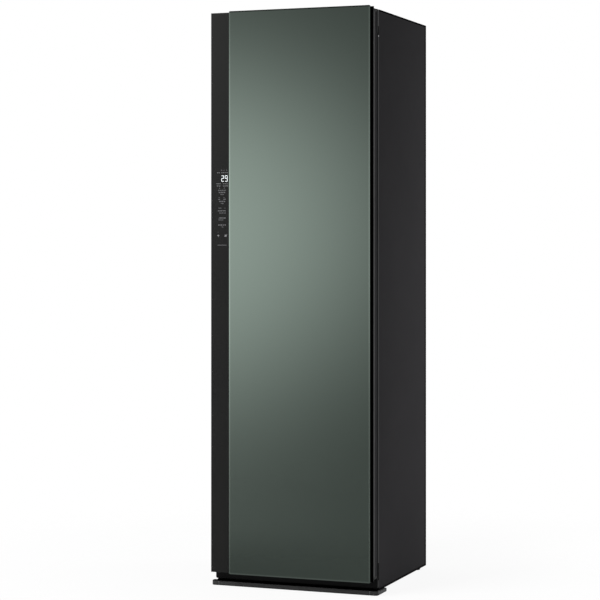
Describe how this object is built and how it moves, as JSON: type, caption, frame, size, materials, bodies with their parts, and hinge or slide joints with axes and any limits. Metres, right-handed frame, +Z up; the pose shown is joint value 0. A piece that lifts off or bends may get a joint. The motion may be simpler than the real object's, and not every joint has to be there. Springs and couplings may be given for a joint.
{
  "type": "clothes care steam cabinet",
  "caption": "Tall free-standing clothes care cabinet with a mirror door, hanging chamber, garment shaker, trouser press and pull-out water tanks.",
  "frame": {"origin": "on the floor under the middle of the cabinet", "axes": "+Z up, +X to the right seen from the front, -Y towards the door"},
  "size_m": [0.6, 0.606, 1.96],
  "materials": {
    "graphite_steel": "satin powder coat",
    "dark_plastic": "fine matte texture",
    "control_strip": "smooth matte touch panel",
    "grey_plastic": "matte",
    "pale_liner": "satin moulded liner",
    "white_plastic": "gloss",
    "smoked_clear": "clear smoked tank",
    "mirror_glass": "tinted mirror glass",
    "bright_steel": "plain",
    "galvanised": "galvanised sheet",
    "rubber": "matte",
    "foam": "felted insulation",
    "circuit_board": "board with lacquer"
  },
  "bodies": {
    "cabinet": {"left_side_panel": "graphite_steel", "right_side_panel": "graphite_steel", "top_panel": "graphite_steel", "rear_panel": "galvanised", "rear_access_cover": "galvanised", "base_pan": "galvanised", "cord_gland": "dark_plastic", "plinth_bar": "grey_plastic", "plinth_cap_left": "grey_plastic", "plinth_cap_right": "grey_plastic", "front_frame": "dark_plastic", "insulation_jacket": "foam", "upper_hinge_bracket": "dark_plastic", "lower_hinge_bracket": "dark_plastic", "chamber_liner": "pale_liner", "air_inlet_grille": "white_plastic", "air_outlet_grille": "white_plastic", "steam_nozzle": "grey_plastic", "hanger_guide_left": "grey_plastic", "hanger_guide_right": "grey_plastic", "shaker_drive_plate": "galvanised", "shaker_motor": "bright_steel", "chamber_light": "white_plastic", "tank_bay": "pale_liner", "air_duct": "dark_plastic", "evaporator": "bright_steel", "condenser": "bright_steel", "fan_housing": "dark_plastic", "fan_motor": "bright_steel", "compressor": "dark_plastic", "steam_generator": "bright_steel", "steam_hose": "rubber", "water_pump": "dark_plastic", "control_box": "dark_plastic"},
    "door": {"door_shell": "graphite_steel", "door_cap_top": "dark_plastic", "door_cap_bottom": "dark_plastic", "display_board": "circuit_board", "control_panel": "control_strip", "glass_carrier": "dark_plastic", "mirror_glass": "mirror_glass", "door_inner_liner": "pale_liner", "door_gasket": "rubber", "press_back_plate": "pale_liner", "press_hinge_rod": "bright_steel"},
    "press": {"press_plate": "white_plastic"},
    "hanger": {"hanger_bar": "grey_plastic"},
    "crank": {"crank_disc": "bright_steel"},
    "supply": {"supply_tank": "smoked_clear"},
    "supply_cap": {"supply_tank_lid": "grey_plastic"},
    "drain": {"drain_tank": "smoked_clear"},
    "drain_cap": {"drain_tank_lid": "grey_plastic"},
    "filter": {"lint_filter": "grey_plastic"},
    "scent": {"scent_cap": "grey_plastic"},
    "rack": {"shelf": "pale_liner"},
    "fan": {"fan_impeller": "grey_plastic"},
    "front_left_foot": {"foot_front_left": "dark_plastic"},
    "front_right_foot": {"foot_front_right": "dark_plastic"},
    "rear_left_foot": {"foot_rear_left": "dark_plastic"},
    "rear_right_foot": {"foot_rear_right": "dark_plastic"}
  },
  "joints": [
    {"name": "door_hinge", "type": "hinge", "parent": "cabinet", "child": "door", "pos_m": [0.281, -0.275, 1], "axis": [0, 0, 1], "range_deg": [0, 105]},
    {"name": "press_hinge", "type": "hinge", "parent": "door", "child": "press", "pos_m": [-0.162, -0.2414, 1.111], "axis": [0, 0, 1], "range_deg": [0, 95]},
    {"name": "hanger_shake", "type": "slide", "parent": "cabinet", "child": "hanger", "axis": [1, 0, 0], "range_m": [-0.015, 0.015]},
    {"name": "crank_turn", "type": "hinge", "parent": "cabinet", "child": "crank", "pos_m": [0, 0.008, 1.836], "axis": [0, 0, -1], "range_deg": [-60, 60]},
    {"name": "supply_tank_pull", "type": "slide", "parent": "cabinet", "child": "supply", "axis": [0, -1, 0], "range_m": [0, 0.014]},
    {"name": "drain_tank_pull", "type": "slide", "parent": "cabinet", "child": "drain", "axis": [0, -1, 0], "range_m": [0, 0.014]},
    {"name": "supply_lid_lift", "type": "slide", "parent": "supply", "child": "supply_cap", "axis": [0, 0, 1], "range_m": [0, 0.02]},
    {"name": "drain_lid_lift", "type": "slide", "parent": "drain", "child": "drain_cap", "axis": [0, 0, 1], "range_m": [0, 0.02]},
    {"name": "lint_filter_lift", "type": "slide", "parent": "cabinet", "child": "filter", "axis": [0, 0, 1], "range_m": [0, 0.07]},
    {"name": "scent_cap_lift", "type": "slide", "parent": "cabinet", "child": "scent", "axis": [0, 0, 1], "range_m": [0, 0.04]},
    {"name": "shelf_lift", "type": "slide", "parent": "cabinet", "child": "rack", "axis": [0, 0, 1], "range_m": [0, 0.06]},
    {"name": "fan_spin", "type": "hinge", "parent": "cabinet", "child": "fan", "pos_m": [-0.07, 0.15, 0.306], "axis": [1, 0, 0], "continuous": true},
    {"name": "front_left_foot_turn", "type": "hinge", "parent": "cabinet", "child": "front_left_foot", "pos_m": [-0.262, -0.15, 0], "axis": [0, 0, 1], "continuous": true},
    {"name": "front_right_foot_turn", "type": "hinge", "parent": "cabinet", "child": "front_right_foot", "pos_m": [0.262, -0.15, 0], "axis": [0, 0, 1], "continuous": true},
    {"name": "rear_left_foot_turn", "type": "hinge", "parent": "cabinet", "child": "rear_left_foot", "pos_m": [-0.262, 0.265, 0], "axis": [0, 0, 1], "continuous": true},
    {"name": "rear_right_foot_turn", "type": "hinge", "parent": "cabinet", "child": "rear_right_foot", "pos_m": [0.262, 0.265, 0], "axis": [0, 0, 1], "continuous": true}
  ],
  "couplings": [
    {"joint": "crank_turn", "follows": "hanger_shake", "rad_per_m": 69.8}
  ]
}
